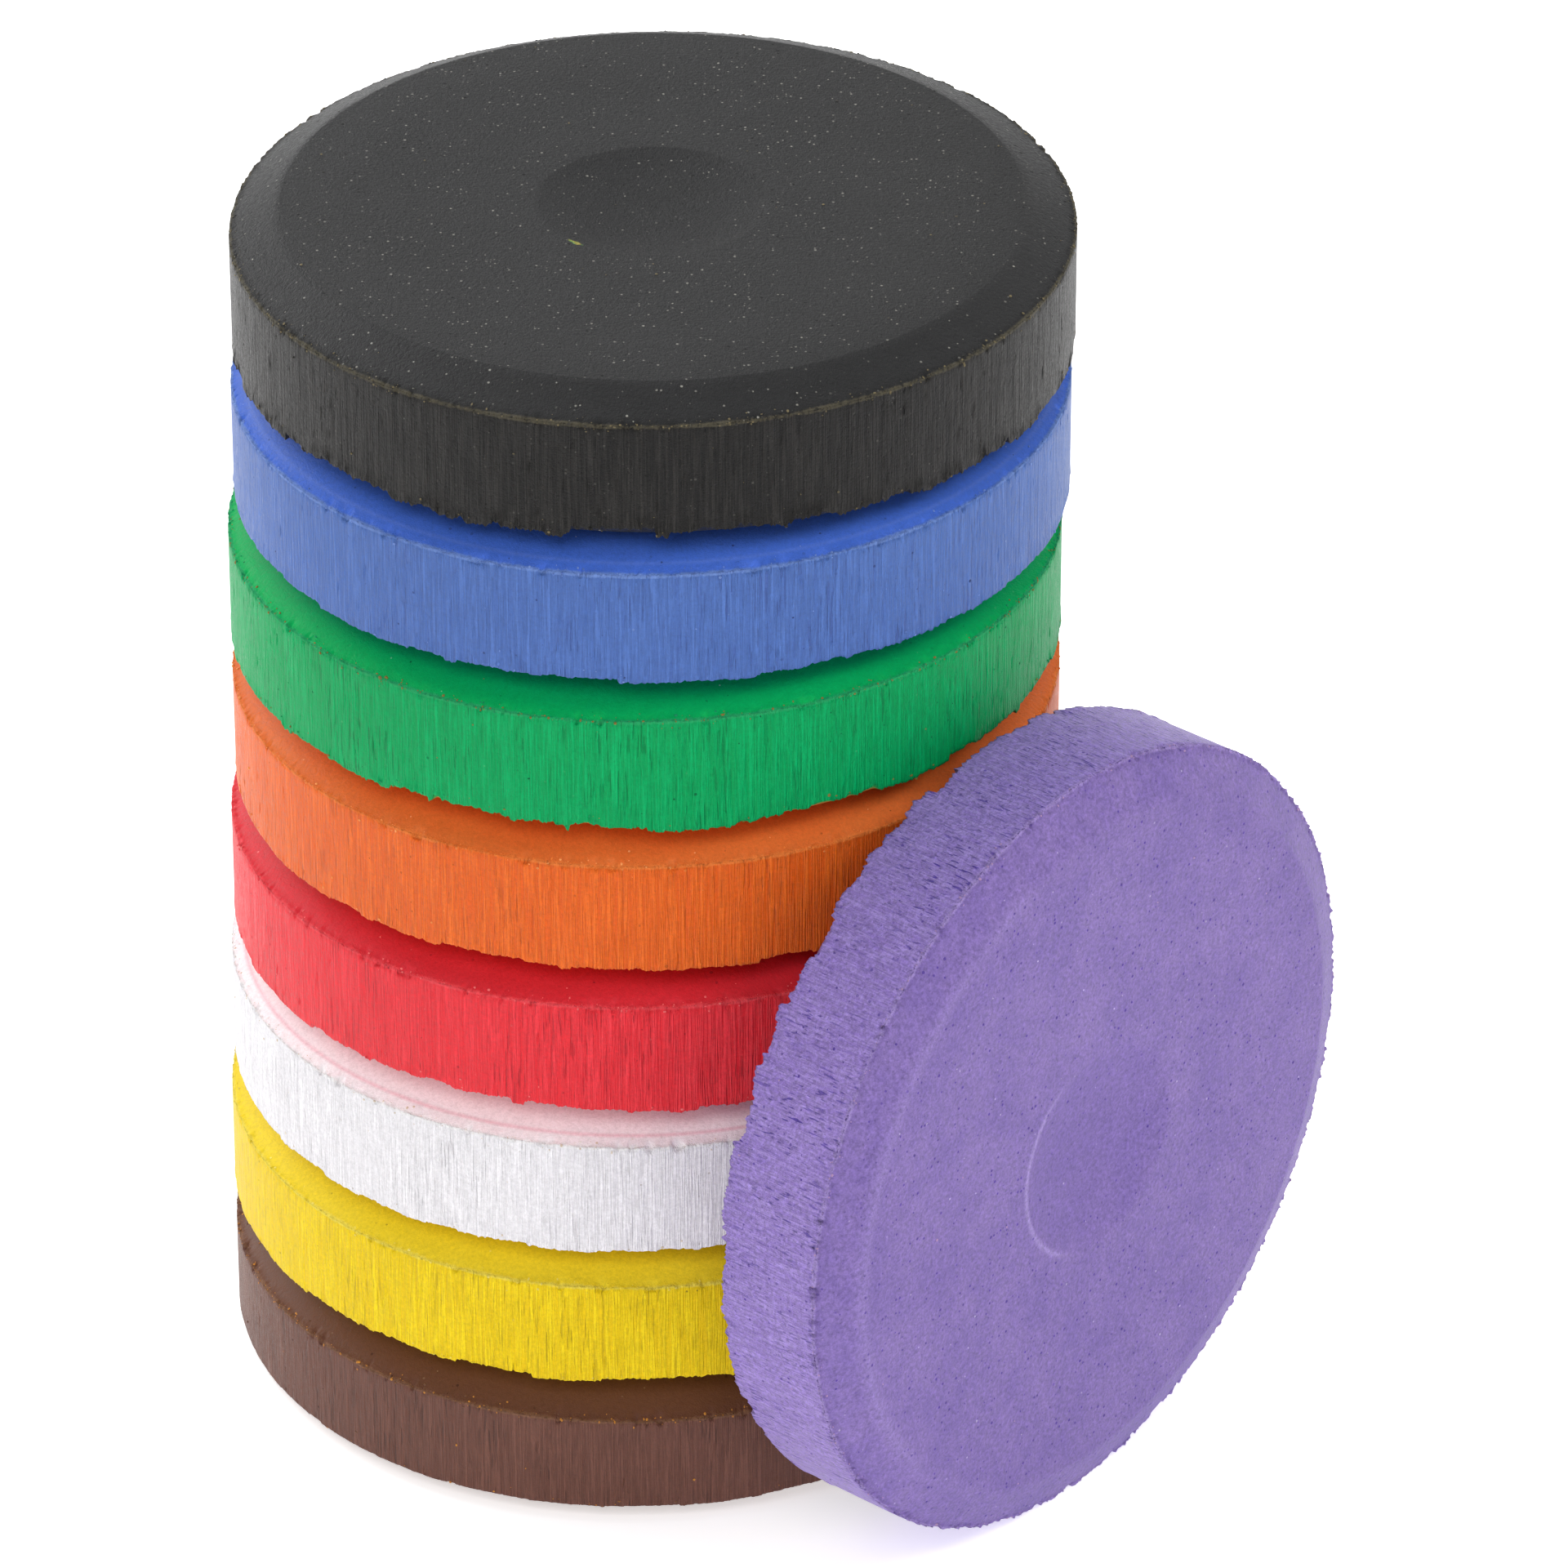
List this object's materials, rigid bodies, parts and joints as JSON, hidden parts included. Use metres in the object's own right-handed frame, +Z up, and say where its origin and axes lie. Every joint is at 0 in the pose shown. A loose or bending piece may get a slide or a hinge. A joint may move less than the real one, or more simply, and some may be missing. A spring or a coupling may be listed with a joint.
{
  "type": "pressed paint cake set",
  "caption": "Round pressed paint cakes with bevelled edges and a shallow press mark, in a flat stack with a further cake stood on its edge against it.",
  "frame": {"origin": "centre of the bottom cake's underside, on the surface the set stands on", "axes": "+Z up through the stack; +X to the right and +Y to the back as the set faces the viewer"},
  "size_m": [0.0775, 0.0738, 0.0883],
  "materials": {
    "brown_paint": "matt pressed pigment and chalk",
    "yellow_paint": "matt pressed pigment and chalk",
    "white_paint": "matt pressed pigment and chalk",
    "red_paint": "matt pressed pigment and chalk",
    "orange_paint": "matt pressed pigment and chalk",
    "green_paint": "matt pressed pigment and chalk",
    "blue_paint": "matt pressed pigment and chalk",
    "black_paint": "matt pressed pigment and chalk",
    "violet_paint": "matt pressed pigment and chalk"
  },
  "bodies": {
    "brown": {"brown_cake": "brown_paint"},
    "yellow": {"yellow_cake": "yellow_paint"},
    "white": {"white_cake": "white_paint"},
    "red": {"red_cake": "red_paint"},
    "orange": {"orange_cake": "orange_paint"},
    "green": {"green_cake": "green_paint"},
    "blue": {"blue_cake": "blue_paint"},
    "black": {"black_cake": "black_paint"},
    "violet": {"violet_cake": "violet_paint"}
  },
  "joints": [
    {"name": "yellow_lift", "type": "slide", "parent": "brown", "child": "yellow", "axis": [0, 0, 1], "range_m": [0, 0.03]},
    {"name": "white_lift", "type": "slide", "parent": "yellow", "child": "white", "axis": [0, 0, 1], "range_m": [0, 0.03]},
    {"name": "red_lift", "type": "slide", "parent": "white", "child": "red", "axis": [0, 0, 1], "range_m": [0, 0.03]},
    {"name": "orange_lift", "type": "slide", "parent": "red", "child": "orange", "axis": [0, 0, 1], "range_m": [0, 0.03]},
    {"name": "green_lift", "type": "slide", "parent": "orange", "child": "green", "axis": [0, 0, 1], "range_m": [0, 0.03]},
    {"name": "blue_lift", "type": "slide", "parent": "green", "child": "blue", "axis": [0, 0, 1], "range_m": [0, 0.03]},
    {"name": "black_lift", "type": "slide", "parent": "blue", "child": "black", "axis": [0, 0, 1], "range_m": [0, 0.03]},
    {"name": "violet_pull", "type": "slide", "parent": "brown", "child": "violet", "axis": [0.766, -0.6428, 0], "range_m": [0, 0.05]}
  ]
}
